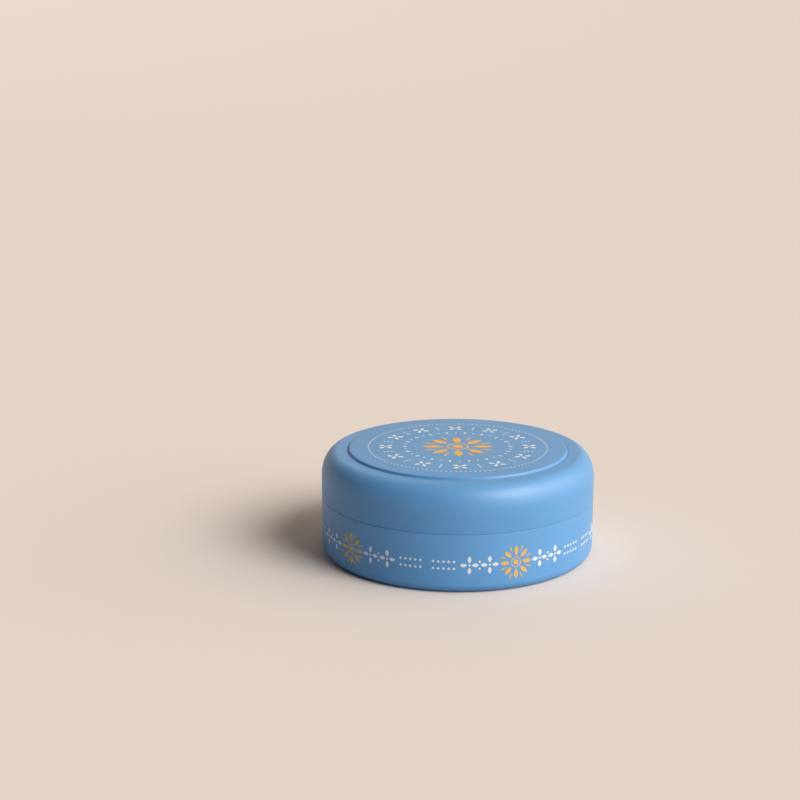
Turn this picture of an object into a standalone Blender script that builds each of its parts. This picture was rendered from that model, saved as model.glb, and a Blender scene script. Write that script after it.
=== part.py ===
"""A low screw-top cosmetic jar of balm, 72 mm across and 27.9 mm high when closed.

It is a double-walled jar. A blue outer shell carries a white pot on inner ribs, under a snap bead. A blue lid shell
carries a white threaded insert the same way, and the insert holds a foam wad that seals on the pot's rim.
Metres, +Z up. The origin is the centre of the foot, on the surface that the jar stands on.
"""

import math

import bmesh
import bpy
from mathutils import Matrix

# Outside form
OUTER_RADIUS = 0.0360
BASE_HEIGHT = 0.0152
SEAM_GAP = 0.0003
LID_HEIGHT = 0.0124
EDGE_ROUND = 0.0002

# Foot of the base shell
FOOT_ROUND = 0.0024
FOOT_WIDTH = 0.0020
FOOT_RECESS = 0.0008
RECESS_RUN = 0.0008

# Shoulder, ring and raised panel of the lid
SHOULDER_WIDTH = 0.00425
SHOULDER_DROP = 0.0064
RING_WIDTH = 0.00245
RING_RISE = 0.0001
PANEL_STEP = 0.0006
PANEL_RUN = 0.0008

# Walls
BASE_WALL = 0.0016
BASE_FLOOR = 0.0016
RIM_WALL = 0.0011
LID_WALL = 0.0016
LID_TOP = 0.0016
POT_WALL = 0.0015
POT_FLOOR = 0.0013
INSERT_WALL = 0.0012
INSERT_TOP = 0.0012
INNER_ROUND = 0.0010

# Snap beads, which hold a flange against its seat
BEAD_REACH = 0.0006
BEAD_LEAD = 0.0006
BEAD_UNDERCUT = 0.0003

# Pot
FLANGE_THICKNESS = 0.0010
POT_ROUND = 0.0030
POT_DRAFT = 0.0003
RIM_ROUND = 0.0004
TRANSFER_BEAD_REACH = 0.0007
TRANSFER_BEAD_HEIGHT = 0.0008
TRANSFER_BEAD_LIFT = 0.0009

# Ribs inside the base shell, some of them keys that stop the pot from turning
BASE_RIBS = 12
BASE_KEYS = 4
RIB_THICKNESS = 0.0010
RIB_REACH = 0.0014
KEY_TIP = 0.0003

# Lid insert
INSERT_FLANGE_REACH = 0.0009
INSERT_FLANGE_THICKNESS = 0.0010
INSERT_RIB_REACH = 0.0007
INSERT_RIB_HEIGHT = 0.0030
INSERT_KEYS = 8
LEAD_IN = 0.0005

# Screw thread that the scene cuts on the neck and in the insert: the room for it is left here
THREAD_DEPTH = 0.00105
THREAD_PLAY = 0.0003

# Foam wad and the bead that keeps it in the insert
WAD_THICKNESS = 0.0012
WAD_MARGIN = 0.0004
WAD_BEAD_REACH = 0.0007
WAD_BEAD_HEIGHT = 0.0006
WAD_ROUND = 0.0002

# Balm
HEADSPACE = 0.0050
MENISCUS_RISE = 0.0004
MENISCUS_WIDTH = 0.0030
CENTRE_DIP = 0.0003

# Clearances, and the overrun of anything that is cut or fused
FIT_GAP = 0.0003
OVERRUN = 0.0003
MERGE_DISTANCE = 0.000001

# Facets round the axis and along the arcs
SHELL_STEPS = 80
INNER_STEPS = 64
SHOULDER_ARC_STEPS = 9
ROUND_ARC_STEPS = 4
EDGE_ARC_STEPS = 2
MENISCUS_STEPS = 4
SMOOTH_ANGLE = math.radians(30)

# Colours: linear red, green, blue
SKY_BLUE = (0.130, 0.375, 0.730)
PLAIN_WHITE = (0.830, 0.830, 0.820)
FOAM_WHITE = (0.860, 0.855, 0.835)
BALM_CREAM = (0.860, 0.800, 0.660)

# Heights that follow from the values above
LID_BOTTOM = BASE_HEIGHT + SEAM_GAP
TOTAL_HEIGHT = LID_BOTTOM + LID_HEIGHT
RING_HEIGHT = TOTAL_HEIGHT - PANEL_STEP
SHOULDER_TOP = RING_HEIGHT - RING_RISE
SHOULDER_BOTTOM = SHOULDER_TOP - SHOULDER_DROP
LID_CEILING = SHOULDER_TOP - LID_TOP
INSERT_CROWN = LID_CEILING - FIT_GAP
WAD_TOP = INSERT_CROWN - INSERT_TOP - FIT_GAP
WAD_BOTTOM = WAD_TOP - WAD_THICKNESS
RIM_HEIGHT = WAD_BOTTOM - FIT_GAP
FLOOR_TOP = FOOT_RECESS + BASE_FLOOR
POT_BOTTOM = FLOOR_TOP + FIT_GAP
POT_INSIDE = POT_BOTTOM + POT_FLOOR
BALM_LEVEL = RIM_HEIGHT - HEADSPACE
FLANGE_TOP = BASE_HEIGHT - BEAD_LEAD - BEAD_UNDERCUT - FIT_GAP
FLANGE_BOTTOM = FLANGE_TOP - FLANGE_THICKNESS
RIB_TOP = FLANGE_BOTTOM - FIT_GAP
INSERT_FLANGE_BOTTOM = LID_BOTTOM + BEAD_LEAD + BEAD_UNDERCUT + FIT_GAP
INSERT_FLANGE_TOP = INSERT_FLANGE_BOTTOM + INSERT_FLANGE_THICKNESS

# Radii that follow from the values above
FOOT_OUTER = OUTER_RADIUS - FOOT_ROUND
FOOT_INNER = FOOT_OUTER - FOOT_WIDTH
RIM_INNER = OUTER_RADIUS - RIM_WALL
BASE_INNER = OUTER_RADIUS - BASE_WALL
SHOULDER_RADIUS = OUTER_RADIUS - SHOULDER_WIDTH
PANEL_FOOT = SHOULDER_RADIUS - RING_WIDTH
PANEL_RADIUS = PANEL_FOOT - PANEL_RUN
LID_INNER = OUTER_RADIUS - LID_WALL
INSERT_FLANGE = LID_INNER - FIT_GAP
INSERT_OUTER = INSERT_FLANGE - INSERT_FLANGE_REACH
INSERT_BORE = INSERT_OUTER - INSERT_WALL
WAD_RADIUS = INSERT_BORE - WAD_MARGIN
NECK_OUTER = INSERT_BORE - THREAD_DEPTH - THREAD_PLAY
NECK_INNER = NECK_OUTER - POT_WALL
FLANGE_RADIUS = RIM_INNER - FIT_GAP
POT_INNER = NECK_INNER - POT_DRAFT
POT_OUTER = POT_INNER + POT_WALL


def arc(centre, size, start, end, steps):
    """Points of an elliptical arc in the (radius, height) plane, from one angle to another in degrees."""
    points = []
    for step in range(steps + 1):
        angle = math.radians(start + (end - start) * step / steps)
        points.append((centre[0] + size[0] * math.cos(angle), centre[1] + size[1] * math.sin(angle)))
    return points


def round_arc(radius, height, size, start, end, steps):
    """A circular arc about the point at that radius and height."""
    return arc((radius, height), (size, size), start, end, steps)


def plastic(name, colour, roughness):
    """A plain material in the piece's own colour."""
    material = bpy.data.materials.new(name)
    material.use_nodes = True
    shader = material.node_tree.nodes["Principled BSDF"]
    shader.inputs["Base Color"].default_value = (*colour, 1)
    shader.inputs["Roughness"].default_value = roughness
    shader.inputs["Metallic"].default_value = 0
    material.diffuse_color = (*colour, 1)
    return material


def link(name, mesh):
    """A new object of that mesh in the scene."""
    piece = bpy.data.objects.new(name, mesh)
    bpy.context.scene.collection.objects.link(piece)
    return piece


def axis_marker(name, height, parent=None):
    """An empty on the jar's axis, which carries the pieces that move with it."""
    marker = link(name, None)
    marker.parent = parent
    marker.location = (0, 0, height - (parent.matrix_world.translation.z if parent else 0))
    bpy.context.view_layer.update()
    return marker


def turned(name, outline, material, steps, parent):
    """The outline of (radius, height) points, in world heights, turned once round the axis.

    An outline that starts and ends on the axis gives a solid of revolution, and any other gives a ring.
    """
    level = parent.matrix_world.translation.z
    form = bmesh.new()
    points = [form.verts.new((radius, 0, height - level)) for radius, height in outline]
    pairs = list(zip(points, points[1:]))
    if outline[0][0] > 0:
        pairs.append((points[-1], points[0]))
    edges = [form.edges.new(pair) for pair in pairs]
    bmesh.ops.spin(form, geom=points + edges, cent=(0, 0, 0), axis=(0, 0, 1), angle=math.tau, steps=steps,
                   use_merge=True)
    bmesh.ops.remove_doubles(form, verts=form.verts, dist=MERGE_DISTANCE)
    bmesh.ops.recalc_face_normals(form, faces=form.faces)
    mesh = bpy.data.meshes.new(name)
    form.to_mesh(mesh)
    form.free()
    mesh.materials.append(material)
    piece = link(name, mesh)
    piece.parent = parent
    bpy.context.view_layer.update()
    return piece


def blocks(name, boxes, parent):
    """A hidden guide made of upright blocks.

    Each box is (angle, offset, inner radius, outer radius, thickness, bottom, top). The offset is across the
    radius, and the heights are in the world.
    """
    level = parent.matrix_world.translation.z
    form = bmesh.new()
    for angle, offset, inner, outer, thickness, bottom, top in boxes:
        block = bmesh.ops.create_cube(form, size=1)["verts"]
        bmesh.ops.scale(form, vec=(outer - inner, thickness, top - bottom), verts=block)
        middle = ((inner + outer) / 2, offset, (bottom + top) / 2 - level)
        bmesh.ops.translate(form, vec=middle, verts=block)
        bmesh.ops.rotate(form, cent=(0, 0, 0), matrix=Matrix.Rotation(angle, 3, "Z"), verts=block)
    mesh = bpy.data.meshes.new(name)
    form.to_mesh(mesh)
    form.free()
    guide = link(name, mesh)
    guide.parent = parent
    guide.hide_render = True
    guide.display_type = "WIRE"
    bpy.context.view_layer.update()
    return guide


def combine(piece, guide, operation):
    """Adds the guide to the piece, or cuts it away, with an exact Boolean."""
    modifier = piece.modifiers.new(guide.name, "BOOLEAN")
    modifier.operation = operation
    modifier.solver = "EXACT"
    modifier.object = guide


def smooth(piece):
    """Rounds shade smooth, and the corners stay crisp."""
    piece.data.shade_smooth()
    piece.data.set_sharp_from_angle(angle=SMOOTH_ANGLE)


def spaced(count):
    """Angles of that many places, evenly spaced round the axis."""
    return [math.tau * place / count for place in range(count)]


def make_base_shell(parent):
    """Outer wall of the jar: rounded foot, recessed underside, snap bead at the rim and ribs that carry the pot."""
    underside = [(0, FOOT_RECESS), (FOOT_INNER - RECESS_RUN, FOOT_RECESS), (FOOT_INNER, 0)]
    foot = round_arc(FOOT_OUTER, FOOT_ROUND, FOOT_ROUND, -90, 0, ROUND_ARC_STEPS)
    rim_edge = round_arc(OUTER_RADIUS - EDGE_ROUND, BASE_HEIGHT - EDGE_ROUND, EDGE_ROUND, 0, 90, EDGE_ARC_STEPS)
    bead_height = BASE_HEIGHT - BEAD_LEAD
    bead = [
        (RIM_INNER, BASE_HEIGHT),
        (RIM_INNER - BEAD_REACH, bead_height),
        (RIM_INNER, bead_height - BEAD_UNDERCUT),
        (RIM_INNER, RIB_TOP),
        (BASE_INNER, RIB_TOP - (RIM_INNER - BASE_INNER)),
    ]
    corner = round_arc(BASE_INNER - INNER_ROUND, FLOOR_TOP + INNER_ROUND, INNER_ROUND, 0, -90, EDGE_ARC_STEPS)
    outline = underside + foot + rim_edge + bead + corner + [(0, FLOOR_TOP)]
    shell = turned("base_shell", outline, plastic("blue_base", SKY_BLUE, 0.42), SHELL_STEPS, parent)

    ribs = []
    for place, angle in enumerate(spaced(BASE_RIBS)):
        is_key = place % (BASE_RIBS // BASE_KEYS) == 0
        top = FLANGE_TOP - KEY_TIP if is_key else RIB_TOP
        outer = RIM_INNER + OVERRUN if is_key else BASE_INNER + OVERRUN
        ribs.append((angle, 0, BASE_INNER - RIB_REACH, outer, RIB_THICKNESS, FLOOR_TOP - OVERRUN, top))
    combine(shell, blocks("base_ribs_guide", ribs, parent), "UNION")
    smooth(shell)
    return shell


def make_pot(parent):
    """Inner pot: drafted wall, flange that snaps into the shell, transfer bead, neck and sealing rim."""
    bottom = [(0, POT_BOTTOM)]
    outside = round_arc(POT_OUTER - POT_ROUND, POT_BOTTOM + POT_ROUND, POT_ROUND, -90, 0, ROUND_ARC_STEPS)
    flange = [
        (NECK_OUTER, FLANGE_BOTTOM),
        (FLANGE_RADIUS, FLANGE_BOTTOM),
        (FLANGE_RADIUS, FLANGE_TOP - RIM_ROUND),
        (FLANGE_RADIUS - RIM_ROUND, FLANGE_TOP),
        (NECK_OUTER, FLANGE_TOP),
    ]
    bead_bottom = FLANGE_TOP + TRANSFER_BEAD_LIFT
    bead_top = bead_bottom + TRANSFER_BEAD_HEIGHT
    bead_flat = TRANSFER_BEAD_HEIGHT / 4
    bead = [
        (NECK_OUTER, bead_bottom),
        (NECK_OUTER + TRANSFER_BEAD_REACH, bead_bottom + bead_flat),
        (NECK_OUTER + TRANSFER_BEAD_REACH, bead_top - bead_flat),
        (NECK_OUTER, bead_top),
    ]
    rim_outside = round_arc(NECK_OUTER - RIM_ROUND, RIM_HEIGHT - RIM_ROUND, RIM_ROUND, 0, 90, EDGE_ARC_STEPS)
    rim_inside = round_arc(NECK_INNER + RIM_ROUND, RIM_HEIGHT - RIM_ROUND, RIM_ROUND, 90, 180, EDGE_ARC_STEPS)
    inside_round = POT_ROUND - POT_WALL
    inside = round_arc(POT_INNER - inside_round, POT_INSIDE + inside_round, inside_round, 0, -90, ROUND_ARC_STEPS)
    outline = bottom + outside + flange + bead + rim_outside + rim_inside + inside + [(0, POT_INSIDE)]
    pot = turned("pot", outline, plastic("white_pot", PLAIN_WHITE, 0.35), INNER_STEPS, parent)

    notches = []
    for angle in spaced(BASE_KEYS):
        notch_width = RIB_THICKNESS + 2 * FIT_GAP
        notch_inner = BASE_INNER - RIB_REACH - FIT_GAP
        notches.append((angle, 0, notch_inner, FLANGE_RADIUS + OVERRUN, notch_width,
                        FLANGE_BOTTOM - OVERRUN, FLANGE_TOP + OVERRUN))
    combine(pot, blocks("pot_notches_guide", notches, parent), "DIFFERENCE")
    smooth(pot)
    return pot


def make_balm(parent):
    """Balm poured into the pot: it climbs a little at the wall and dips a little at the centre."""
    wall = POT_INNER - FIT_GAP
    floor = POT_INSIDE + FIT_GAP
    corner_round = POT_ROUND - POT_WALL
    corner = round_arc(wall - corner_round, floor + corner_round, corner_round, -90, 0, ROUND_ARC_STEPS)
    surface = []
    for step in range(MENISCUS_STEPS + 1):
        share = step / MENISCUS_STEPS
        surface.append((wall - MENISCUS_WIDTH * share, BALM_LEVEL + MENISCUS_RISE * (1 - share) ** 2))
    outline = [(0, floor)] + corner + surface + [(0, BALM_LEVEL - CENTRE_DIP)]
    balm = turned("balm", outline, plastic("cream_balm", BALM_CREAM, 0.45), INNER_STEPS, parent)
    smooth(balm)
    return balm


def make_lid_shell(parent):
    """Outer lid: raised panel, flat ring, broad shoulder and straight skirt, with a snap bead inside the skirt."""
    panel = [(0, TOTAL_HEIGHT), (PANEL_RADIUS, TOTAL_HEIGHT), (PANEL_FOOT, RING_HEIGHT)]
    shoulder = arc((SHOULDER_RADIUS, SHOULDER_BOTTOM), (SHOULDER_WIDTH, SHOULDER_DROP), 90, 0, SHOULDER_ARC_STEPS)
    skirt_edge = round_arc(OUTER_RADIUS - EDGE_ROUND, LID_BOTTOM + EDGE_ROUND, EDGE_ROUND, 0, -90, EDGE_ARC_STEPS)
    bead_height = LID_BOTTOM + BEAD_LEAD
    bead = [
        (RIM_INNER, LID_BOTTOM),
        (LID_INNER - BEAD_REACH, bead_height),
        (LID_INNER, bead_height + BEAD_UNDERCUT),
    ]
    hollow_size = (SHOULDER_WIDTH - LID_WALL, LID_CEILING - SHOULDER_BOTTOM)
    hollow = arc((SHOULDER_RADIUS, SHOULDER_BOTTOM), hollow_size, 0, 90, ROUND_ARC_STEPS)
    outline = panel + shoulder + skirt_edge + bead + hollow + [(0, LID_CEILING)]
    shell = turned("lid_shell", outline, plastic("blue_lid", SKY_BLUE, 0.42), SHELL_STEPS, parent)

    ribs = []
    beside = RIB_THICKNESS + FIT_GAP
    rib_inner = INSERT_OUTER + FIT_GAP
    rib_bottom = INSERT_FLANGE_TOP + FIT_GAP
    for angle in spaced(INSERT_KEYS):
        for offset in (-beside, beside):
            ribs.append((angle, offset, rib_inner, LID_INNER + OVERRUN, RIB_THICKNESS,
                         rib_bottom, rib_bottom + INSERT_RIB_HEIGHT))
    combine(shell, blocks("lid_ribs_guide", ribs, parent), "UNION")
    smooth(shell)
    return shell


def make_lid_insert(parent):
    """Threaded inner cap: flange held by the shell's bead, keys between the shell's ribs and a seat for the wad."""
    crown_size = (INSERT_OUTER - SHOULDER_RADIUS, INSERT_CROWN - SHOULDER_BOTTOM)
    crown = arc((SHOULDER_RADIUS, SHOULDER_BOTTOM), crown_size, 90, 0, ROUND_ARC_STEPS)
    flange = [
        (INSERT_OUTER, INSERT_FLANGE_TOP),
        (INSERT_FLANGE, INSERT_FLANGE_TOP),
        (INSERT_FLANGE, INSERT_FLANGE_BOTTOM),
        (INSERT_BORE + LEAD_IN, INSERT_FLANGE_BOTTOM),
        (INSERT_BORE, INSERT_FLANGE_BOTTOM + LEAD_IN),
    ]
    bead_top = WAD_BOTTOM - FIT_GAP
    bead_middle = bead_top - WAD_BEAD_HEIGHT / 2
    wad_seat = [
        (INSERT_BORE, bead_top - WAD_BEAD_HEIGHT),
        (INSERT_BORE - WAD_BEAD_REACH, bead_middle),
        (INSERT_BORE, bead_top),
        (INSERT_BORE, WAD_TOP),
        (INSERT_BORE - FIT_GAP, WAD_TOP + FIT_GAP),
        (0, WAD_TOP + FIT_GAP),
    ]
    outline = [(0, INSERT_CROWN)] + crown + flange + wad_seat
    insert = turned("lid_insert", outline, plastic("white_insert", PLAIN_WHITE, 0.35), INNER_STEPS, parent)

    keys = []
    key_bottom = INSERT_FLANGE_TOP - OVERRUN
    key_top = INSERT_FLANGE_TOP + INSERT_RIB_HEIGHT
    for angle in spaced(INSERT_KEYS):
        keys.append((angle, 0, INSERT_OUTER - OVERRUN, INSERT_OUTER + INSERT_RIB_REACH, RIB_THICKNESS,
                     key_bottom, key_top))
    combine(insert, blocks("insert_keys_guide", keys, parent), "UNION")
    smooth(insert)
    return insert


def make_seal_wad(parent):
    """Foam disc that lies loose in the insert and is pressed on the pot's rim."""
    lower = round_arc(WAD_RADIUS - WAD_ROUND, WAD_BOTTOM + WAD_ROUND, WAD_ROUND, -90, 0, EDGE_ARC_STEPS)
    upper = round_arc(WAD_RADIUS - WAD_ROUND, WAD_TOP - WAD_ROUND, WAD_ROUND, 0, 90, EDGE_ARC_STEPS)
    outline = [(0, WAD_BOTTOM)] + lower + upper + [(0, WAD_TOP)]
    wad = turned("seal_wad", outline, plastic("white_foam", FOAM_WHITE, 0.80), INNER_STEPS, parent)
    smooth(wad)
    return wad


for old in list(bpy.data.objects):
    bpy.data.objects.remove(old)

jar = axis_marker("jar", 0)
lid_lift = axis_marker("lid_lift_axis", LID_BOTTOM, jar)
lid_turn = axis_marker("lid_turn_axis", LID_BOTTOM, lid_lift)

make_base_shell(jar)
make_pot(jar)
make_balm(jar)
make_seal_wad(lid_lift)
make_lid_shell(lid_turn)
make_lid_insert(lid_turn)
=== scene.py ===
"""Looks of the screw-top balm jar: finer shells, screw thread, printed ornament, plastics, foam and balm."""

import math

import bmesh
import bpy
from mathutils import Matrix, Vector


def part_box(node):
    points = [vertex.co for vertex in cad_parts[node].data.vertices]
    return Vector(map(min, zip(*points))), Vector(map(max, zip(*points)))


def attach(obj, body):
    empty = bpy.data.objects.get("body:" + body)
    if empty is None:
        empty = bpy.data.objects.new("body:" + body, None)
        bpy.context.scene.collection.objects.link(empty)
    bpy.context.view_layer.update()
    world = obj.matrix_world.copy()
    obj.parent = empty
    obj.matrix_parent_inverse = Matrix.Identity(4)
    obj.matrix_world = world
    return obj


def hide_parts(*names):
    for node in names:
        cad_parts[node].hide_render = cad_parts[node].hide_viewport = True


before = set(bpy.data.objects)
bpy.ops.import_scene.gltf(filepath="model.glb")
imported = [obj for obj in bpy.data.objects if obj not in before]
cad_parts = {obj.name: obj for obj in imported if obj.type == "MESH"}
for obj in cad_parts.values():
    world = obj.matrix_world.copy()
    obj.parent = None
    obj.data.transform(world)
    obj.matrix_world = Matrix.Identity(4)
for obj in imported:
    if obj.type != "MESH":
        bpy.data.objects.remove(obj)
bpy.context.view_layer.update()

# Photograph's frame: square, with the camera fitted to the jar's outlines in it
PHOTO_PIXELS = 800
FOCAL_PIXELS = 1600
SENSOR_WIDTH_MM = 36
CAMERA_DISTANCE_RADII = 12.0
CAMERA_PITCH = math.radians(13.77)
FOOT_PIXEL = (456.75, 546.6)
CLIP_START = 0.01
CLIP_END = 50

# Gaps and edges that several mouldings share. These and all lengths below are real sizes in metres
FIT_GAP = 0.0003
OVERRUN = 0.0003
MERGE_DISTANCE = 0.0000005
EDGE_ROUND = 0.00010
RIM_EDGE = 0.00015
SOFT_EDGE = 0.0003
INNER_ROUND = 0.0010

# Base: foot with its recess and gate mark, walls, and the rim that comes closer to the lid than its solid
FOOT_ROUND = 0.0024
FOOT_WIDTH = 0.0020
FOOT_RECESS = 0.0008
RECESS_RUN = 0.0008
GATE_RADIUS = 0.0016
GATE_HEIGHT = 0.0003
GATE_EDGE = 0.0004
BASE_WALL = 0.0016
BASE_FLOOR = 0.0016
RIM_WALL = 0.0011
SEAM_CLOSING = 0.00012

# Lid: shoulder, ring, and the panel's step with the groove at its foot
SHOULDER_WIDTH = 0.00425
SHOULDER_DROP = 0.0064
RING_WIDTH = 0.00245
RING_RISE = 0.0001
PANEL_STEP = 0.0006
PANEL_RUN = 0.0008
STEP_ROUND = 0.0003
STEP_REACH = 0.00025
STEP_RUN = 0.0002
GROOVE_DEPTH = 0.0001
GROOVE_LIP = 0.00012
LID_TOP = 0.0016

# Snap beads, ribs and keys that hold the pot in the base and the insert in the lid
BEAD_REACH = 0.0006
BEAD_LEAD = 0.0006
BEAD_UNDERCUT = 0.0003
BEAD_TIP = 0.00012
RIB_THICKNESS = 0.0010
RIB_REACH = 0.0014
KEY_TIP = 0.0003
BASE_RIBS = 12
BASE_KEYS = 4
INSERT_KEYS = 8
INSERT_RIB_HEIGHT = 0.0030
INSERT_RIB_REACH = 0.0007

# Pot: walls, flange, transfer bead, neck and rim
POT_WALL = 0.0015
POT_FLOOR = 0.0013
POT_ROUND = 0.0030
POT_DRAFT = 0.0003
FLANGE_THICKNESS = 0.0010
TRANSFER_BEAD_REACH = 0.0007
TRANSFER_BEAD_HEIGHT = 0.0008
TRANSFER_BEAD_LIFT = 0.0009
NECK_FILLET = 0.0004
RIM_ROUND = 0.0004

# Insert, and the foam wad in it
INSERT_WALL = 0.0012
INSERT_FLANGE_REACH = 0.0009
INSERT_FLANGE_THICKNESS = 0.0010
LEAD_IN = 0.0005
WAD_BEAD_REACH = 0.0007
WAD_BEAD_HEIGHT = 0.0006
WAD_ROUND = 0.0002
WAD_PRESS = 0.0001

# Balm: how its surface climbs the wall and dips, and the height, rate and arms of each swirl in it
BALM_DROP = 0.0004
BALM_DIP = 0.0003
BALM_CLIMB = 0.0004
BALM_CLIMB_WIDTH = 0.0030
BALM_RINGS = 48
SWIRLS = ((0.00006, 900, 2), (0.00005, 410, -3))
SWIRL_FADE = 2

# Screw thread: two starts, right-handed, at the rate of the lid's own rise
THREAD_STARTS = 2
THREAD_LEAD = 0.0060
THREAD_DEPTH = 0.00105
THREAD_PLAY = 0.0003
THREAD_ROOT_WIDTH = 0.0013
THREAD_CREST_WIDTH = 0.0006
THREAD_ROUND = THREAD_CREST_WIDTH / 4
THREAD_SINK = 0.0002
THREAD_RUNOUT = math.radians(22)
NECK_THREAD_START = 0.0008
NECK_THREAD_END = 0.0016
INSERT_THREAD_START = 0.0009
INSERT_THREAD_END = 0.0018

# Printed ornament, in two inks that stand a hair above the plastic
INK_RISE = 0.00002
INK_SINK = 0.00003
STROKE = 0.0005
DOT_RADIUS = 0.00028
LOZENGE_LENGTH = 0.0016
LOZENGE_WIDTH = 0.0008
BLOSSOM_PETALS = 4
BLOSSOM_LENGTH = 0.0018
BLOSSOM_WIDTH = 0.0010

# Rosette: ring, heart, petals, and the rays between them
SUN_RING = 0.0027
SUN_HEART = 0.0014
SUN_PETALS = 8
PETAL_START = 0.0036
PETAL_LENGTH = 0.0058
PETAL_WIDTH = 0.0023
RAY_START = 0.0060
RAY_LENGTH = 0.0044
RAY_WIDTH = 0.0008

# Print on the panel, from the middle out: chain, wreath of blossoms, and dotted border
CHAIN_RADIUS = 0.0140
CHAIN_COUNT = 36
WREATH_RADIUS = 0.0190
WREATH_COUNT = 12
WREATH_TURN = math.radians(45)
BORDER_RADIUS = 0.0236
BORDER_COUNT = 120
BORDER_DOT = 0.00022

# Print on the side of the base, which repeats round it
SIDE_HEIGHT = 0.0075
SIDE_REPEATS = 5
SIDE_START = math.radians(-140)
SIDE_SCALE = 0.46
SIDE_BLOSSOMS = (0.0069, 0.0120)
SIDE_ROW_START = 0.0158
SIDE_ROW_STEP = 0.0013
SIDE_ROW_COUNT = 5
SIDE_ROW_LIFT = 0.0009

# Facets: steps round a shell or a turn of thread, steps of arcs and curves, and the steepest smooth edge
SHELL_STEPS = 240
INNER_STEPS = 192
THREAD_STEPS = 150
SHOULDER_ARC_STEPS = 36
ROUND_ARC_STEPS = 10
EDGE_ARC_STEPS = 5
FINE_ARC_STEPS = 3
CURVE_STEPS = 12
HEART_STEPS = 2 * CURVE_STEPS
RING_STEPS = 4 * CURVE_STEPS
SMOOTH_ANGLE = math.radians(32)

# Finishes. A colour or a roughness drifts between its two values with a noise, given as cells per metre
# and octaves, and where they aren't plain also its roughness and its stretch along each axis. A bump is
# its height in metres and its strength. A glow from within is its weight, its reach in each colour and
# its scale
NOISE_LOW = 0.3
NOISE_HIGH = 0.7
NOISE_ROUGHNESS = 0.5
BLUE_COLOURS = ((0.124, 0.362, 0.698), (0.137, 0.383, 0.735))
BLUE_DRIFT = (70, 3)
BLUE_ROUGHNESS = (0.40, 0.46)
BLUE_HANDLING = (1400, 2)
BLUE_GRAIN = (5200, 2)
BLUE_GRAIN_BUMP = (0.00002, 0.35)
BLUE_MARKS = (1, 3, 0.6, (45, 45, 2400))
BLUE_MARKS_BUMP = (0.00002, 0.6)
BLUE_IOR = 1.58
WHITE_COLOURS = ((0.82, 0.82, 0.81), (0.85, 0.85, 0.845))
WHITE_DRIFT = (90, 2)
WHITE_ROUGHNESS = (0.30, 0.38)
WHITE_HANDLING = (1100, 2)
WHITE_GRAIN = (4200, 2)
WHITE_GRAIN_BUMP = (0.00002, 0.2)
WHITE_GLOW = (0.15, (1.0, 0.95, 0.9), 0.0012)
FOAM_COLOURS = ((0.80, 0.795, 0.77), (0.86, 0.855, 0.83))
FOAM_DRIFT = (500, 3)
FOAM_ROUGHNESS = 0.75
FOAM_CELLS = 2600
FOAM_CELLS_BUMP = (0.00012, 0.7)
BALM_COLOURS = ((0.84, 0.77, 0.62), (0.88, 0.83, 0.70))
BALM_DRIFT = (220, 4, 0.6)
BALM_ROUGHNESS = (0.34, 0.50)
BALM_SKIN = (300, 3)
BALM_LUMPS = (260, 4)
BALM_LUMPS_BUMP = (0.00012, 0.4)
BALM_GLOW = (0.35, (1.0, 0.75, 0.5), 0.002)
GOLD_COLOURS = ((0.91, 0.49, 0.075), (0.95, 0.53, 0.100))
PALE_COLOURS = ((0.87, 0.91, 0.94), (0.91, 0.94, 0.96))
INK_DRIFT = (2400, 3)
INK_ROUGHNESS = (0.42, 0.55)
INK_WEAR = (1800, 2)
INK_LAY = (3800, 2)
INK_LAY_BUMP = (0.00001, 0.3)

# Paper sweep: the colour that shows, and the dimmer and cooler one in the light that it throws on the jar
PAPER_COLOUR = (0.850, 0.785, 0.738)
PAPER_BOUNCE = (0.320, 0.400, 0.480)
PAPER_ROUGHNESS = 0.9
PAPER_SPECULAR = 0.1
SWEEP_FLAT = 1.2
SWEEP_ROUND = 14.0
SWEEP_END = -70
SWEEP_LIP = 0.1
SWEEP_ARC_STEPS = 40
SWEEP_STEPS = 96

# Light: azimuth 0 is the jar's right side in the photograph, and -90 faces the camera. A glow in the
# surround is its azimuth and elevation, the cosines of the angles from its middle at which it begins and is
# full, and its strength
KEY_FROM = (-39, 39)
KEY_SPREAD = 36
KEY_ENERGY = 2.0
KEY_COLOUR = (0.97, 0.98, 1.0)
SURROUND_LEVEL = 0.055
SURROUND_COLOUR = (1.0, 0.84, 0.69)
RIGHT_GLOW = ((-15, 14), (0.60, 0.95), 2.8)
REAR_GLOW = ((80, 25), (0.30, 1.0), 0.54)


def reach(node):
    """Outer radius, lowest height and highest height of a CAD node."""
    low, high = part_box(node)
    return high.x, low.z, high.z


base_radius, foot_height, base_top = reach("base_shell")
lid_radius, lid_bottom, lid_top = reach("lid_shell")
flange_radius, pot_bottom, rim_height = reach("pot")
insert_flange, insert_bottom, insert_crown = reach("lid_insert")
wad_radius, wad_bottom, wad_top = reach("seal_wad")
balm_radius, balm_bottom, balm_wall_top = reach("balm")

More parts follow.
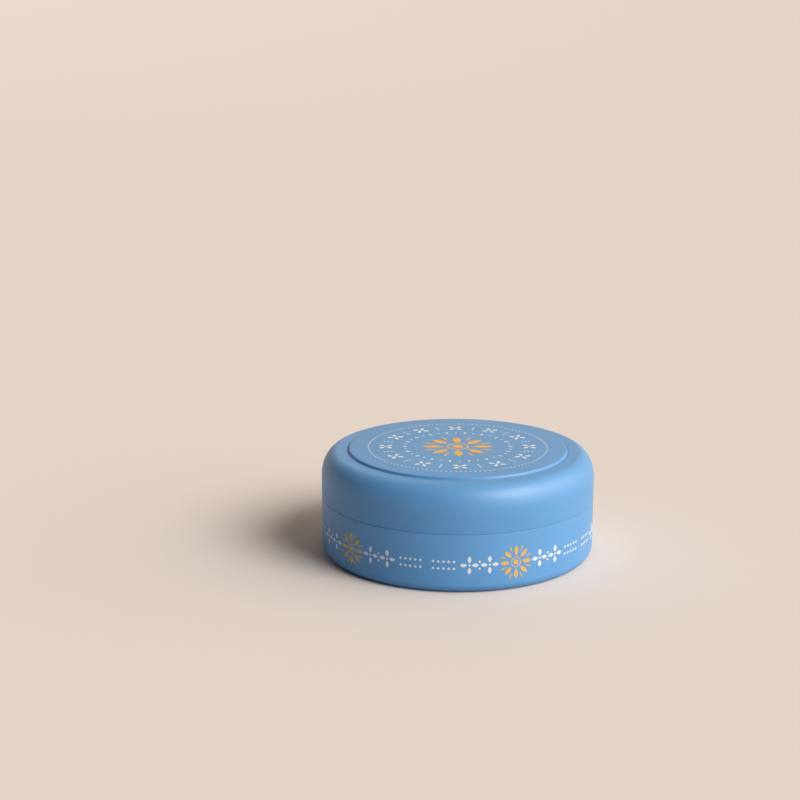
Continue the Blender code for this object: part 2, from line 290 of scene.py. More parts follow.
# Radii and heights that follow from the frame
foot_outer = base_radius - FOOT_ROUND
foot_inner = foot_outer - FOOT_WIDTH
rim_inner = base_radius - RIM_WALL
base_inner = base_radius - BASE_WALL
floor_top = foot_height + FOOT_RECESS + BASE_FLOOR
flange_top = base_top - BEAD_LEAD - BEAD_UNDERCUT - FIT_GAP
flange_bottom = flange_top - FLANGE_THICKNESS
rib_top = flange_bottom - FIT_GAP
lid_inner = insert_flange + FIT_GAP
insert_outer = insert_flange - INSERT_FLANGE_REACH
insert_bore = insert_outer - INSERT_WALL
insert_flange_top = insert_bottom + INSERT_FLANGE_THICKNESS
neck_outer = insert_bore - THREAD_DEPTH - THREAD_PLAY
neck_inner = neck_outer - POT_WALL
pot_inner = neck_inner - POT_DRAFT
pot_outer = pot_inner + POT_WALL
pot_inside = pot_bottom + POT_FLOOR
shoulder_radius = lid_radius - SHOULDER_WIDTH
panel_foot = shoulder_radius - RING_WIDTH
panel_radius = panel_foot - PANEL_RUN
ring_height = lid_top - PANEL_STEP
shoulder_top = ring_height - RING_RISE
shoulder_bottom = shoulder_top - SHOULDER_DROP
lid_ceiling = shoulder_top - LID_TOP
rim_top = base_top + SEAM_CLOSING
skirt_bottom = lid_bottom - SEAM_CLOSING
panel_face = lid_top - INK_RISE
base_face = base_radius - INK_RISE


def arc(centre, size, start, end, steps):
    """Points of an elliptical arc in the (radius, height) plane, from one angle to another in degrees."""
    points = []
    for step in range(steps + 1):
        angle = math.radians(start + (end - start) * step / steps)
        points.append((centre[0] + size[0] * math.cos(angle), centre[1] + size[1] * math.sin(angle)))
    return points


def polar(radius, angle):
    """A place at that radius and angle."""
    return radius * math.cos(angle), radius * math.sin(angle)


def round_arc(radius, height, size, start, end, steps):
    """A circular arc about the point at that radius and height."""
    return arc((radius, height), (size, size), start, end, steps)


def rounded(before, corner, after, size, steps=EDGE_ARC_STEPS):
    """The corner between two straight runs, rounded by a curve that starts and ends that far from it."""
    corner, before, after = Vector(corner), Vector(before), Vector(after)
    start = corner + (before - corner).normalized() * size
    end = corner + (after - corner).normalized() * size
    points = []
    for step in range(steps + 1):
        share = step / steps
        point = start.lerp(corner, share).lerp(corner.lerp(end, share), share)
        points.append((point.x, point.y))
    return points


def new_object(name, form, material):
    """An object from a bmesh, with its faces turned outwards, shaded smooth with crisp corners."""
    bmesh.ops.recalc_face_normals(form, faces=form.faces)
    mesh = bpy.data.meshes.new(name)
    form.to_mesh(mesh)
    form.free()
    mesh.materials.append(material)
    mesh.shade_smooth()
    mesh.set_sharp_from_angle(angle=SMOOTH_ANGLE)
    piece = bpy.data.objects.new(name, mesh)
    bpy.context.scene.collection.objects.link(piece)
    return piece


def turned(name, outline, material, steps):
    """The outline of (radius, height) points, turned once round the axis into a solid or a ring."""
    form = bmesh.new()
    points = [form.verts.new((radius, 0, height)) for radius, height in outline]
    pairs = list(zip(points, points[1:]))
    if outline[0][0] > 0:
        pairs.append((points[-1], points[0]))
    edges = [form.edges.new(pair) for pair in pairs]
    bmesh.ops.spin(form, geom=points + edges, cent=(0, 0, 0), axis=(0, 0, 1), angle=math.tau, steps=steps,
                   use_merge=True)
    bmesh.ops.remove_doubles(form, verts=form.verts, dist=MERGE_DISTANCE)
    return new_object(name, form, material)


def spaced(count):
    """Angles of that many places, evenly spaced round the axis."""
    return [math.tau * place / count for place in range(count)]


def blocks(boxes):
    """Upright blocks. Each box is (angle, offset across the radius, inner, outer, thickness, bottom, top)."""
    form = bmesh.new()
    for angle, offset, inner, outer, thickness, bottom, top in boxes:
        block = bmesh.ops.create_cube(form, size=1)["verts"]
        bmesh.ops.scale(form, vec=(outer - inner, thickness, top - bottom), verts=block)
        bmesh.ops.translate(form, vec=((inner + outer) / 2, offset, (bottom + top) / 2), verts=block)
        bmesh.ops.rotate(form, cent=(0, 0, 0), matrix=Matrix.Rotation(angle, 3, "Z"), verts=block)
    return form


def combine(piece, boxes, operation):
    """Adds the blocks to the piece, or cuts them away, and applies the result."""
    guide = new_object("guide", blocks(boxes), piece.data.materials[0])
    modifier = piece.modifiers.new("combine", "BOOLEAN")
    modifier.operation = operation
    modifier.solver = "EXACT"
    modifier.object = guide
    graph = bpy.context.evaluated_depsgraph_get()
    mesh = bpy.data.meshes.new_from_object(piece.evaluated_get(graph))
    piece.modifiers.clear()
    piece.data = mesh
    mesh.shade_smooth()
    mesh.set_sharp_from_angle(angle=SMOOTH_ANGLE)
    bpy.data.objects.remove(guide)


def ridge_outline(radius, crest, sink):
    """Outline of a thread ridge, cut across: its sunk root, its flanks and its rounded crest."""
    low_root = (radius, -THREAD_ROOT_WIDTH / 2)
    high_root = (radius, THREAD_ROOT_WIDTH / 2)
    low_crest = (crest, -THREAD_CREST_WIDTH / 2)
    high_crest = (crest, THREAD_CREST_WIDTH / 2)
    outline = [(radius + sink, low_root[1]), low_root]
    outline += rounded(low_root, low_crest, high_crest, THREAD_ROUND, FINE_ARC_STEPS)
    outline += rounded(low_crest, high_crest, high_root, THREAD_ROUND, FINE_ARC_STEPS)
    return outline + [high_root, (radius + sink, high_root[1])]


def helix_ridge(name, radius, depth, start_angle, low, high, material):
    """One start of a screw thread: a ridge on the cylinder of that radius, between two heights of its middle.

    The depth is positive outwards and negative inwards. The ridge fades in and out over the run-out angle.
    """
    sink = -THREAD_SINK if depth > 0 else THREAD_SINK
    turn = math.tau * (high - low) / THREAD_LEAD
    form = bmesh.new()
    sections = []
    for step in range(THREAD_STEPS + 1):
        along = turn * step / THREAD_STEPS
        height = low + THREAD_LEAD * along / math.tau
        fade = min(1, along / THREAD_RUNOUT, (turn - along) / THREAD_RUNOUT)
        crest = radius + depth * math.sin(fade * math.pi / 2)
        section = []
        for across, rise in ridge_outline(radius, crest, sink):
            section.append(form.verts.new((*polar(across, start_angle + along), height + rise)))
        sections.append(section)
    for section, following in zip(sections, sections[1:]):
        for here in range(len(section)):
            after = (here + 1) % len(section)
            form.faces.new((section[here], section[after], following[after], following[here]))
    form.faces.new(sections[0])
    form.faces.new(reversed(sections[-1]))
    return new_object(name, form, material)


def base_cup(material):
    """Outer wall of the jar, with its foot, snap bead, ribs and keys."""
    gate_top = FOOT_RECESS - GATE_HEIGHT
    gate = [(0, gate_top), (GATE_RADIUS - GATE_EDGE, gate_top), (GATE_RADIUS, FOOT_RECESS)]
    recess = (foot_inner - RECESS_RUN, FOOT_RECESS)
    underside = rounded((0, FOOT_RECESS), recess, (foot_inner, 0), SOFT_EDGE)
    inner_edge = rounded(recess, (foot_inner, 0), (foot_outer, 0), SOFT_EDGE)
    foot = arc((foot_outer, FOOT_ROUND), (base_face - foot_outer, FOOT_ROUND), -90, 0, ROUND_ARC_STEPS * 2)
    rim_edge = round_arc(base_face - EDGE_ROUND, rim_top - EDGE_ROUND, EDGE_ROUND, 0, 90, EDGE_ARC_STEPS)
    bead_height = base_top - BEAD_LEAD
    lead = (rim_inner, rim_top)
    tip = (rim_inner - BEAD_REACH, bead_height)
    undercut = (rim_inner, bead_height - BEAD_UNDERCUT)
    rim = rounded((base_face, rim_top), lead, tip, RIM_EDGE, FINE_ARC_STEPS)
    bead = rounded(lead, tip, undercut, BEAD_TIP, FINE_ARC_STEPS)
    seat = [undercut, (rim_inner, rib_top), (base_inner, rib_top - (rim_inner - base_inner))]
    corner = round_arc(base_inner - INNER_ROUND, floor_top + INNER_ROUND, INNER_ROUND, 0, -90, EDGE_ARC_STEPS)
    outline = gate + underside + inner_edge + foot + rim_edge + rim + bead + seat + corner + [(0, floor_top)]
    cup = turned("base_cup", outline, material, SHELL_STEPS)
    ribs = []
    for place, angle in enumerate(spaced(BASE_RIBS)):
        is_key = place % (BASE_RIBS // BASE_KEYS) == 0
        top = flange_top - KEY_TIP if is_key else rib_top
        outer = rim_inner + OVERRUN if is_key else base_inner + OVERRUN
        ribs.append((angle, 0, base_inner - RIB_REACH, outer, RIB_THICKNESS, floor_top - OVERRUN, top))
    combine(cup, ribs, "UNION")
    return cup


def inner_pot(material):
    """Pot with its flange, notches, transfer bead, neck and sealing rim."""
    outside = round_arc(pot_outer - POT_ROUND, pot_bottom + POT_ROUND, POT_ROUND, -90, 0, ROUND_ARC_STEPS)
    under = [(neck_outer, flange_bottom), (flange_radius, flange_bottom)]
    lower, upper, seat = (flange_radius, flange_bottom), (flange_radius, flange_top), (neck_outer, flange_top)
    edge = rounded(lower, upper, seat, RIM_ROUND)
    root = rounded(upper, seat, (neck_outer, rim_height), NECK_FILLET)
    bead_bottom = flange_top + TRANSFER_BEAD_LIFT
    bead_middle = bead_bottom + TRANSFER_BEAD_HEIGHT / 2
    bead_size = (TRANSFER_BEAD_REACH, TRANSFER_BEAD_HEIGHT / 2)
    bead = arc((neck_outer, bead_middle), bead_size, -90, 90, ROUND_ARC_STEPS)
    rim_out = round_arc(neck_outer - RIM_ROUND, rim_height - RIM_ROUND, RIM_ROUND, 0, 90, EDGE_ARC_STEPS)
    rim_in = round_arc(neck_inner + RIM_ROUND, rim_height - RIM_ROUND, RIM_ROUND, 90, 180, EDGE_ARC_STEPS)
    hollow = POT_ROUND - POT_WALL
    inside = round_arc(pot_inner - hollow, pot_inside + hollow, hollow, 0, -90, ROUND_ARC_STEPS)
    outline = [(0, pot_bottom)] + outside + under + edge + root + bead + rim_out + rim_in + inside
    pot = turned("white_pot", outline + [(0, pot_inside)], material, INNER_STEPS)
    notches = []
    for angle in spaced(BASE_KEYS):
        notches.append((angle, 0, base_inner - RIB_REACH - FIT_GAP, flange_radius + OVERRUN,
                        RIB_THICKNESS + 2 * FIT_GAP, flange_bottom - OVERRUN, flange_top + OVERRUN))
    combine(pot, notches, "DIFFERENCE")
    return pot


def lid_cap(material):
    """Outer lid with its raised panel, ring, broad shoulder, skirt, snap bead and inner ribs."""
    edge = (panel_radius + STEP_REACH, panel_face)
    root = (edge[0] + STEP_RUN, ring_height - GROOVE_DEPTH)
    lip = (panel_foot, ring_height)
    panel_edge = rounded((0, panel_face), edge, root, STEP_ROUND)
    groove = [root, (lip[0] - GROOVE_LIP, root[1])]
    groove += rounded(root, lip, (shoulder_radius, shoulder_top), GROOVE_LIP)
    shoulder_size = (SHOULDER_WIDTH, SHOULDER_DROP)
    shoulder = arc((shoulder_radius, shoulder_bottom), shoulder_size, 90, 0, SHOULDER_ARC_STEPS)
    edge_middle = (lid_radius - EDGE_ROUND, skirt_bottom + EDGE_ROUND)
    skirt_edge = round_arc(*edge_middle, EDGE_ROUND, 0, -90, EDGE_ARC_STEPS)
    lead = (rim_inner, skirt_bottom)
    tip = (lid_inner - BEAD_REACH, lid_bottom + BEAD_LEAD)
    undercut = (lid_inner, lid_bottom + BEAD_LEAD + BEAD_UNDERCUT)
    bead = rounded((lid_radius, skirt_bottom), lead, tip, RIM_EDGE, FINE_ARC_STEPS)
    bead += rounded(lead, tip, undercut, BEAD_TIP, FINE_ARC_STEPS)
    hollow_size = (lid_inner - shoulder_radius, lid_ceiling - shoulder_bottom)
    hollow = arc((shoulder_radius, shoulder_bottom), hollow_size, 0, 90, ROUND_ARC_STEPS)
    outline = [(0, panel_face)] + panel_edge + groove + shoulder + skirt_edge + bead + [undercut] + hollow
    cap = turned("lid_cap", outline + [(0, lid_ceiling)], material, SHELL_STEPS)
    ribs = []
    beside = RIB_THICKNESS + FIT_GAP
    rib_bottom = insert_flange_top + FIT_GAP
    for angle in spaced(INSERT_KEYS):
        for offset in (-beside, beside):
            ribs.append((angle, offset, insert_outer + FIT_GAP, lid_inner + OVERRUN, RIB_THICKNESS,
                         rib_bottom, rib_bottom + INSERT_RIB_HEIGHT))
    combine(cap, ribs, "UNION")
    return cap


def threaded_insert(material):
    """Inner cap with its flange, keys, lead-in and the bead that keeps the wad in."""
    crown_size = (insert_outer - shoulder_radius, insert_crown - shoulder_bottom)
    crown = arc((shoulder_radius, shoulder_bottom), crown_size, 90, 0, ROUND_ARC_STEPS)
    step = (insert_outer, insert_flange_top)
    outer_top = (insert_flange, insert_flange_top)
    outer_bottom = (insert_flange, insert_bottom)
    inner_bottom = (insert_bore + LEAD_IN, insert_bottom)
    bore_bottom = (insert_bore, insert_bottom + LEAD_IN)
    flange = [step] + rounded(step, outer_top, outer_bottom, EDGE_ROUND, FINE_ARC_STEPS)
    flange += rounded(outer_top, outer_bottom, inner_bottom, EDGE_ROUND, FINE_ARC_STEPS)
    flange += rounded(outer_bottom, inner_bottom, bore_bottom, EDGE_ROUND, FINE_ARC_STEPS)
    flange += [bore_bottom]
    bead_top = wad_bottom - FIT_GAP
    bead_middle = bead_top - WAD_BEAD_HEIGHT / 2
    bead = arc((insert_bore, bead_middle), (WAD_BEAD_REACH, WAD_BEAD_HEIGHT / 2), 270, 90, ROUND_ARC_STEPS)
    ceiling = wad_top + FIT_GAP
    top = rounded((insert_bore, wad_bottom), (insert_bore, ceiling), (0, ceiling), FIT_GAP)
    outline = [(0, insert_crown)] + crown + flange + bead + top + [(0, ceiling)]
    insert = turned("threaded_insert", outline, material, INNER_STEPS)
    keys = []
    for angle in spaced(INSERT_KEYS):
        keys.append((angle, 0, insert_outer - OVERRUN, insert_outer + INSERT_RIB_REACH, RIB_THICKNESS,
                     insert_flange_top - OVERRUN, insert_flange_top + INSERT_RIB_HEIGHT))
    combine(insert, keys, "UNION")
    return insert


def foam_wad(material):
    """Foam disc with softly rounded edges and the faint ring that the rim has pressed into it."""
    lower = round_arc(wad_radius - WAD_ROUND, wad_bottom + WAD_ROUND, WAD_ROUND, -90, 0, EDGE_ARC_STEPS)
    upper = round_arc(wad_radius - WAD_ROUND, wad_top - WAD_ROUND, WAD_ROUND, 0, 90, EDGE_ARC_STEPS)
    middle = (neck_inner + neck_outer) / 2
    press = arc((middle, wad_bottom), (POT_WALL / 2, WAD_PRESS), 180, 0, ROUND_ARC_STEPS)
    outline = [(0, wad_bottom)] + press + lower + upper + [(0, wad_top)]
    return turned("foam_wad", outline, material, INNER_STEPS)


def poured_balm(material):
    """Balm with a climbing edge and a gently uneven poured surface."""
    hollow = POT_ROUND - POT_WALL
    corner = round_arc(balm_radius - hollow, balm_bottom + hollow, hollow, -90, 0, ROUND_ARC_STEPS)
    level = balm_wall_top - BALM_DROP
    surface = []
    for ring in range(BALM_RINGS + 1):
        share = ring / BALM_RINGS
        from_wall = balm_radius * share
        climb = BALM_CLIMB * max(0, 1 - from_wall / BALM_CLIMB_WIDTH) ** 2
        surface.append((balm_radius - from_wall, level - BALM_DIP * share ** 2 + climb))
    outline = [(0, balm_bottom)] + corner + surface
    balm = turned("poured_balm", outline, material, INNER_STEPS)
    for vertex in balm.data.vertices:
        if vertex.co.z > level - 2 * BALM_DIP:
            spread = math.hypot(vertex.co.x, vertex.co.y)
            angle = math.atan2(vertex.co.y, vertex.co.x)
            calm = max(0, 1 - spread / (balm_radius - BALM_CLIMB_WIDTH))
            for height, rate, arms in SWIRLS:
                vertex.co.z += height * math.sin(spread * rate + angle * arms) * min(1, calm * SWIRL_FADE)
    return balm


def on_panel(across, along, rise):
    """A place on the lid's panel, that far above its face."""
    return across, along, panel_face + rise


def on_side(across, along, rise):
    """A place on the side of the base, that far round it and up it, and that far outside its face."""
    return *polar(base_face + rise, SIDE_START + across / base_face), along


def patch(form, place, outline):
    """A flat patch of ink with that outline."""
    outer = [form.verts.new(place(across, along, INK_RISE)) for across, along in outline]
    inner = [form.verts.new(place(across, along, -INK_SINK)) for across, along in outline]
    form.faces.new(outer)
    form.faces.new(reversed(inner))
    for here in range(len(outline)):
        after = (here + 1) % len(outline)
        form.faces.new((outer[here], outer[after], inner[after], inner[here]))


def closed_stroke(form, place, outline, width):
    """A line of ink of that width along a closed outline, which runs anticlockwise."""
    loops = [[], [], [], []]
    for here, point in enumerate(outline):
        before, after = Vector(outline[here - 1]), Vector(outline[(here + 1) % len(outline)])
        along = (after - before).normalized()
        out = Vector((along.y, -along.x)) * width / 2
        for loop, side, rise in zip(loops, (1, -1, -1, 1), (INK_RISE, INK_RISE, -INK_SINK, -INK_SINK)):
            spot = Vector(point) + out * side
            loop.append(form.verts.new(place(spot.x, spot.y, rise)))
    for here in range(len(outline)):
        after = (here + 1) % len(outline)
        for loop, following in zip(loops, loops[1:] + loops[:1]):
            form.faces.new((loop[here], following[here], following[after], loop[after]))


def circle(centre, radius, steps=CURVE_STEPS):
    """Points of a circle, anticlockwise."""
    points = round_arc(0, 0, radius, 0, 360, steps)[:-1]
    return [(centre[0] + across, centre[1] + along) for across, along in points]


def lens(centre, angle, start, length, width):
    """Outline of a pointed petal that lies along a ray from the centre, from start to start plus length."""
    points = []
    for side in (1, -1):
        for step in range(CURVE_STEPS):
            share = step / CURVE_STEPS
            along = share if side == 1 else 1 - share
            bulge = -side * width / 2 * math.sin(math.pi * along)
            points.append(Vector((start + length * along, bulge)))
    turn = Matrix.Rotation(angle, 2)
    return [tuple(turn @ point + Vector(centre)) for point in points]


def lozenge(centre, angle, length, width):
    """Outline of a lozenge about the centre, with its long way at that angle."""
    turn = Matrix.Rotation(angle, 2)
    corners = [(length / 2, 0), (0, width / 2), (-length / 2, 0), (0, -width / 2)]
    return [tuple(turn @ Vector(corner) + Vector(centre)) for corner in corners]


def blossom(form, place, centre, angle):
    """Four small petals round a dot."""
    for turn in spaced(BLOSSOM_PETALS):
        patch(form, place, lens(centre, angle + turn, DOT_RADIUS * 2, BLOSSOM_LENGTH, BLOSSOM_WIDTH))
    patch(form, place, circle(centre, DOT_RADIUS))


def sun(form, place, centre, scale):
    """A rosette: ring and heart, petals and thin rays between them."""
    closed_stroke(form, place, circle(centre, SUN_RING * scale, RING_STEPS), STROKE * scale)
    patch(form, place, circle(centre, SUN_HEART * scale, HEART_STEPS))
    for angle in spaced(SUN_PETALS):
        petal = lens(centre, angle, PETAL_START * scale, PETAL_LENGTH * scale, PETAL_WIDTH * scale)
        patch(form, place, petal)
        between = angle + math.pi / SUN_PETALS
        middle = (RAY_START + RAY_LENGTH / 2) * scale
        spot = Vector(centre) + Vector(polar(middle, between))
        patch(form, place, lozenge(spot, between, RAY_LENGTH * scale, RAY_WIDTH * scale))


def panel_print(gold, white):
    """Ornament on the lid: a golden rosette in a chain, a wreath of blossoms and a dotted border."""
    form = bmesh.new()
    sun(form, on_panel, (0, 0), 1)
    yield new_object("panel_rosette", form, gold), "lid", "golden_ink"
    form = bmesh.new()
    for place, angle in enumerate(spaced(CHAIN_COUNT)):
        spot = polar(CHAIN_RADIUS, angle)
        if place % 2:
            patch(form, on_panel, circle(spot, DOT_RADIUS))
        else:
            patch(form, on_panel, lozenge(spot, angle, LOZENGE_LENGTH, LOZENGE_WIDTH))
    for place, angle in enumerate(spaced(WREATH_COUNT)):
        blossom(form, on_panel, polar(WREATH_RADIUS, angle), angle + WREATH_TURN)
        between = angle + math.pi / WREATH_COUNT
        for step in (-1, 0, 1):
            patch(form, on_panel, circle(polar(WREATH_RADIUS + step * BLOSSOM_WIDTH, between), DOT_RADIUS))
    for angle in spaced(BORDER_COUNT):
        patch(form, on_panel, circle(polar(BORDER_RADIUS, angle), BORDER_DOT))
    yield new_object("panel_wreath", form, white), "lid", "white_ink"


def side_marks(form, middle, side):
    """White marks beside a rosette: two blossoms with dots between them, then two rows of lozenges."""
    for offset in SIDE_BLOSSOMS:
        blossom(form, on_side, (middle + side * offset, SIDE_HEIGHT), 0)
    heights = (SIDE_HEIGHT - SIDE_ROW_LIFT, SIDE_HEIGHT + SIDE_ROW_LIFT)
    between = middle + side * sum(SIDE_BLOSSOMS) / 2
    for height in heights:
        patch(form, on_side, circle((between, height), DOT_RADIUS))
    for step in range(SIDE_ROW_COUNT):
        spot = middle + side * (SIDE_ROW_START + step * SIDE_ROW_STEP)
        for height in heights:
            patch(form, on_side, lozenge((spot, height), 0, LOZENGE_WIDTH, LOZENGE_WIDTH))


def side_print(gold, white):
    """Band round the base: golden rosettes with white blossoms and two rows of small marks between them."""
    repeat = math.tau * base_face / SIDE_REPEATS
    golden = bmesh.new()
    pale = bmesh.new()
    for place in range(SIDE_REPEATS):
        middle = place * repeat
        sun(golden, on_side, (middle, SIDE_HEIGHT), SIDE_SCALE)
        for side in (-1, 1):
            side_marks(pale, middle, side)
    yield new_object("side_rosettes", golden, gold), "jar", "golden_ink"
    yield new_object("side_band", pale, white), "jar", "white_ink"


def shader_of(name):
    """A new material, its node tree and its Principled shader."""
    material = bpy.data.materials.new(name)
    material.use_nodes = True
    return material, material.node_tree, material.node_tree.nodes["Principled BSDF"]


def stretched_coordinates(tree, scale):
    """Object coordinates, stretched by a scale for each axis."""
    source = tree.nodes.new("ShaderNodeTexCoord")
    mapping = tree.nodes.new("ShaderNodeMapping")
    mapping.inputs["Scale"].default_value = scale
    tree.links.new(source.outputs["Object"], mapping.inputs["Vector"])
    return mapping.outputs["Vector"]


def noise(tree, scale, detail, roughness=NOISE_ROUGHNESS, stretch=(1, 1, 1)):
    """Value of a noise whose cells are about one over the scale, in metres."""
    texture = tree.nodes.new("ShaderNodeTexNoise")
    texture.inputs["Scale"].default_value = scale
    texture.inputs["Detail"].default_value = detail
    texture.inputs["Roughness"].default_value = roughness
    tree.links.new(stretched_coordinates(tree, stretch), texture.inputs["Vector"])
    return texture.outputs["Fac"]


def ranged(tree, value, low, high):
    """A noise's value, of which only the middle range is used, mapped to low and high."""
    node = tree.nodes.new("ShaderNodeMapRange")
    node.inputs["From Min"].default_value = NOISE_LOW
    node.inputs["From Max"].default_value = NOISE_HIGH
    node.inputs["To Min"].default_value = low
    node.inputs["To Max"].default_value = high
    tree.links.new(value, node.inputs["Value"])
    return node.outputs["Result"]


def varied(tree, value, colour, other):
    """A colour that drifts between two near ones with the value."""
    mix = tree.nodes.new("ShaderNodeMix")
    mix.data_type = "RGBA"
    mix.inputs["A"].default_value = (*colour, 1)
    mix.inputs["B"].default_value = (*other, 1)
    tree.links.new(ranged(tree, value, 0, 1), mix.inputs["Factor"])
    return mix.outputs["Result"]


def bumped(tree, height, distance, strength, normal=None):
    """A bump of that height map over an earlier normal."""
    bump = tree.nodes.new("ShaderNodeBump")
    bump.inputs["Distance"].default_value = distance
    bump.inputs["Strength"].default_value = strength
    tree.links.new(height, bump.inputs["Height"])
    if normal:
        tree.links.new(normal, bump.inputs["Normal"])
    return bump.outputs["Normal"]


def drifting(name, colours, drift, roughness, handling):
    """A new material whose colour and roughness drift, each with a noise of its own."""
    material, tree, shader = shader_of(name)
    tree.links.new(varied(tree, noise(tree, *drift), *colours), shader.inputs["Base Color"])
    tree.links.new(ranged(tree, noise(tree, *handling), *roughness), shader.inputs["Roughness"])
    return material, tree, shader


def glow_within(shader, weight, radius, scale):
    """Lets light into the surface and out again."""
    shader.inputs["Subsurface Weight"].default_value = weight
    shader.inputs["Subsurface Radius"].default_value = radius
    shader.inputs["Subsurface Scale"].default_value = scale


def blue_plastic(name):
    """Sky-blue satin plastic: a fine moulded grain and faint level marks round the skirt."""
    material, tree, shader = drifting(name, BLUE_COLOURS, BLUE_DRIFT, BLUE_ROUGHNESS, BLUE_HANDLING)
    grain = bumped(tree, noise(tree, *BLUE_GRAIN), *BLUE_GRAIN_BUMP)
    marks = bumped(tree, noise(tree, *BLUE_MARKS), *BLUE_MARKS_BUMP, grain)
    tree.links.new(marks, shader.inputs["Normal"])
    shader.inputs["IOR"].default_value = BLUE_IOR
    return material


def white_plastic(name):
    """White injection-moulded plastic, a little translucent."""
    material, tree, shader = drifting(name, WHITE_COLOURS, WHITE_DRIFT, WHITE_ROUGHNESS, WHITE_HANDLING)
    grain = bumped(tree, noise(tree, *WHITE_GRAIN), *WHITE_GRAIN_BUMP)
    tree.links.new(grain, shader.inputs["Normal"])
    glow_within(shader, *WHITE_GLOW)
    return material


def foam(name):
    """Closed-cell foam with a fine pebbled skin."""
    material, tree, shader = shader_of(name)
    tree.links.new(varied(tree, noise(tree, *FOAM_DRIFT), *FOAM_COLOURS), shader.inputs["Base Color"])
    shader.inputs["Roughness"].default_value = FOAM_ROUGHNESS
    cells = tree.nodes.new("ShaderNodeTexVoronoi")
    cells.inputs["Scale"].default_value = FOAM_CELLS
    tree.links.new(stretched_coordinates(tree, (1, 1, 1)), cells.inputs["Vector"])
    pebbles = bumped(tree, cells.outputs["Distance"], *FOAM_CELLS_BUMP)
    tree.links.new(pebbles, shader.inputs["Normal"])
    return material


def balm_cream(name):
    """Soft cream-coloured wax with a satin skin and a faint mottle."""
    material, tree, shader = drifting(name, BALM_COLOURS, BALM_DRIFT, BALM_ROUGHNESS, BALM_SKIN)
    lumps = bumped(tree, noise(tree, *BALM_LUMPS), *BALM_LUMPS_BUMP)
    tree.links.new(lumps, shader.inputs["Normal"])
    glow_within(shader, *BALM_GLOW)
    return material


def ink(name, colours):
    """Screen-printed ink with a slightly uneven lay."""
    material, tree, shader = drifting(name, colours, INK_DRIFT, INK_ROUGHNESS, INK_WEAR)
    lay = bumped(tree, noise(tree, *INK_LAY), *INK_LAY_BUMP)
    tree.links.new(lay, shader.inputs["Normal"])
    return material


def make_threads(material):
    """The two starts of the thread on the pot's neck, and the two in the insert, half a pitch above them."""
    neck_low = flange_top + TRANSFER_BEAD_LIFT + TRANSFER_BEAD_HEIGHT + NECK_THREAD_START
    neck_high = rim_height - NECK_THREAD_END
    insert_low = insert_bottom + INSERT_THREAD_START
    insert_high = wad_bottom - INSERT_THREAD_END
    half_pitch_turn = math.pi / THREAD_STARTS
    insert_turn = math.tau * (insert_low - neck_low) / THREAD_LEAD + half_pitch_turn
    for start, angle in enumerate(spaced(THREAD_STARTS), 1):
        ridge = helix_ridge(f"neck_thread_{start}", neck_outer, THREAD_DEPTH, angle,
                            neck_low, neck_high, material)
        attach(ridge, "jar")
        ridge = helix_ridge(f"insert_thread_{start}", insert_bore, -THREAD_DEPTH, angle + insert_turn,
                            insert_low, insert_high, material)
        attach(ridge, "lid")


def dress():
    """Makes every piece, puts it on its body and hides the solid that it stands for."""
    white = white_plastic("white_plastic")
    pieces = [
        (base_cup(blue_plastic("blue_base")), "jar", "base_shell", "blue_plastic"),
        (inner_pot(white), "jar", "pot", "white_plastic"),
        (poured_balm(balm_cream("cream_balm")), "jar", "balm", "cream_balm"),
        (foam_wad(foam("white_foam")), "seal", "seal_wad", "white_foam"),
        (lid_cap(blue_plastic("blue_lid")), "lid", "lid_shell", "blue_plastic"),
        (threaded_insert(white), "lid", "lid_insert", "white_plastic"),
    ]
    for piece, body, node, slot in pieces:
        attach(piece, body)
        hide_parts(node)

    gold = ink("golden_ink", GOLD_COLOURS)
    pale = ink("white_ink", PALE_COLOURS)
    for prints in (panel_print(gold, pale), side_print(gold, pale)):
        for piece, body, slot in prints:
            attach(piece, body)
    make_threads(white)


def make_stage():
    """Round paper sweep under and around the jar, which rises so slowly that it looks like one even floor.

    It shows as pale as the photograph's floor, and throws about half as much light, and cooler, on the jar.
    """
    material, tree, shader = shader_of("warm_paper")
    path = tree.nodes.new("ShaderNodeLightPath")
    paper = tree.nodes.new("ShaderNodeMix")
    paper.data_type = "RGBA"
    paper.inputs["A"].default_value = (*PAPER_COLOUR, 1)
    paper.inputs["B"].default_value = (*PAPER_BOUNCE, 1)
    tree.links.new(path.outputs["Is Diffuse Ray"], paper.inputs["Factor"])
    tree.links.new(paper.outputs["Result"], shader.inputs["Base Color"])
    shader.inputs["Roughness"].default_value = PAPER_ROUGHNESS
    shader.inputs["Specular IOR Level"].default_value = PAPER_SPECULAR
    outline = [(0, 0), (SWEEP_FLAT, 0)]
    outline += round_arc(SWEEP_FLAT, SWEEP_ROUND, SWEEP_ROUND, -90, SWEEP_END, SWEEP_ARC_STEPS)[1:]
    far, high = outline[-1]
    outline.append((far + SWEEP_LIP, high))
    turned("paper_sweep", outline, material, SWEEP_STEPS)


def direction(azimuth, elevation):
    """Unit vector towards that azimuth and elevation, in degrees."""
    turn, rise = math.radians(azimuth), math.radians(elevation)
    return Vector((math.cos(rise) * math.cos(turn), math.cos(rise) * math.sin(turn), math.sin(rise)))


def make_key():
    """One broad, soft key from the front right."""
    data = bpy.data.lights.new("key", "SUN")
    data.energy = KEY_ENERGY
    data.angle = math.radians(KEY_SPREAD)
    data.color = KEY_COLOUR
    lamp = bpy.data.objects.new("key", data)
    bpy.context.scene.collection.objects.link(lamp)
    lamp.rotation_euler = direction(*KEY_FROM).to_track_quat("Z", "Y").to_euler()


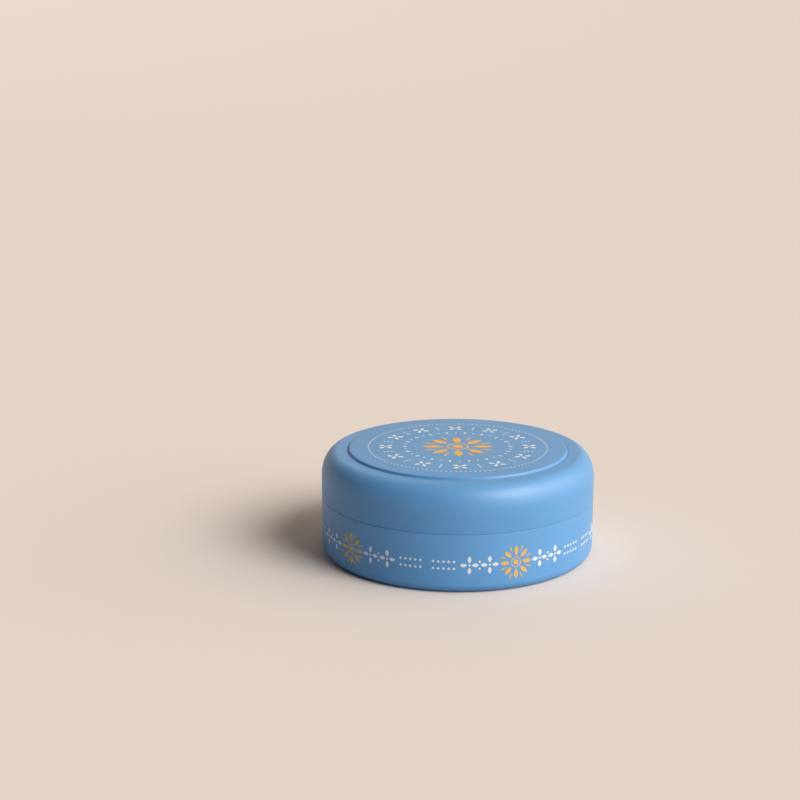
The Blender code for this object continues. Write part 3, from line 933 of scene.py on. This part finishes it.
def with_glow(tree, where, level, middle, fade, strength):
    """The surround's level, with a glow added about that direction, which fades with the angle from it."""
    facing = tree.nodes.new("ShaderNodeVectorMath")
    facing.operation = "DOT_PRODUCT"
    facing.inputs[1].default_value = direction(*middle)
    tree.links.new(where, facing.inputs[0])
    glow = tree.nodes.new("ShaderNodeMapRange")
    glow.interpolation_type = "SMOOTHSTEP"
    glow.inputs["From Min"].default_value = fade[0]
    glow.inputs["From Max"].default_value = fade[1]
    glow.inputs["To Max"].default_value = strength
    tree.links.new(facing.outputs["Value"], glow.inputs["Value"])
    total = tree.nodes.new("ShaderNodeMath")
    tree.links.new(level, total.inputs[0])
    tree.links.new(glow.outputs["Result"], total.inputs[1])
    return total.outputs["Value"]


def make_surround():
    """A dim warm surround, which glows at the right and behind."""
    world = bpy.data.worlds.new("surround")
    bpy.context.scene.world = world
    world.use_nodes = True
    tree = world.node_tree
    source = tree.nodes.new("ShaderNodeTexCoord")
    base = tree.nodes.new("ShaderNodeValue")
    base.outputs["Value"].default_value = SURROUND_LEVEL
    level = base.outputs["Value"]
    for glow in (RIGHT_GLOW, REAR_GLOW):
        level = with_glow(tree, source.outputs["Generated"], level, *glow)
    background = tree.nodes["Background"]
    background.inputs["Color"].default_value = (*SURROUND_COLOUR, 1)
    tree.links.new(level, background.inputs["Strength"])


def make_camera():
    """Camera at the photograph's place: the foot's centre falls on its pixel, seen from the fitted pitch."""
    data = bpy.data.cameras.new("camera")
    data.sensor_width = SENSOR_WIDTH_MM
    data.lens = FOCAL_PIXELS / PHOTO_PIXELS * SENSOR_WIDTH_MM
    data.clip_start = CLIP_START
    data.clip_end = CLIP_END
    camera = bpy.data.objects.new("camera", data)
    bpy.context.scene.collection.objects.link(camera)
    middle = PHOTO_PIXELS / 2
    ray = Vector(((FOOT_PIXEL[0] - middle) / FOCAL_PIXELS, (FOOT_PIXEL[1] - middle) / FOCAL_PIXELS, 1))
    foot = ray.normalized() * CAMERA_DISTANCE_RADII * base_radius
    right = Vector((1, 0, 0))
    down = Vector((0, -math.sin(CAMERA_PITCH), -math.cos(CAMERA_PITCH)))
    forward = Vector((0, math.cos(CAMERA_PITCH), -math.sin(CAMERA_PITCH)))
    camera.location = -(right * foot.x + down * foot.y + forward * foot.z)
    camera.rotation_euler = (math.pi / 2 - CAMERA_PITCH, 0, 0)
    bpy.context.scene.camera = camera


bpy.context.scene.view_settings.view_transform = "Standard"
make_camera()
make_stage()
make_key()
make_surround()
dress()
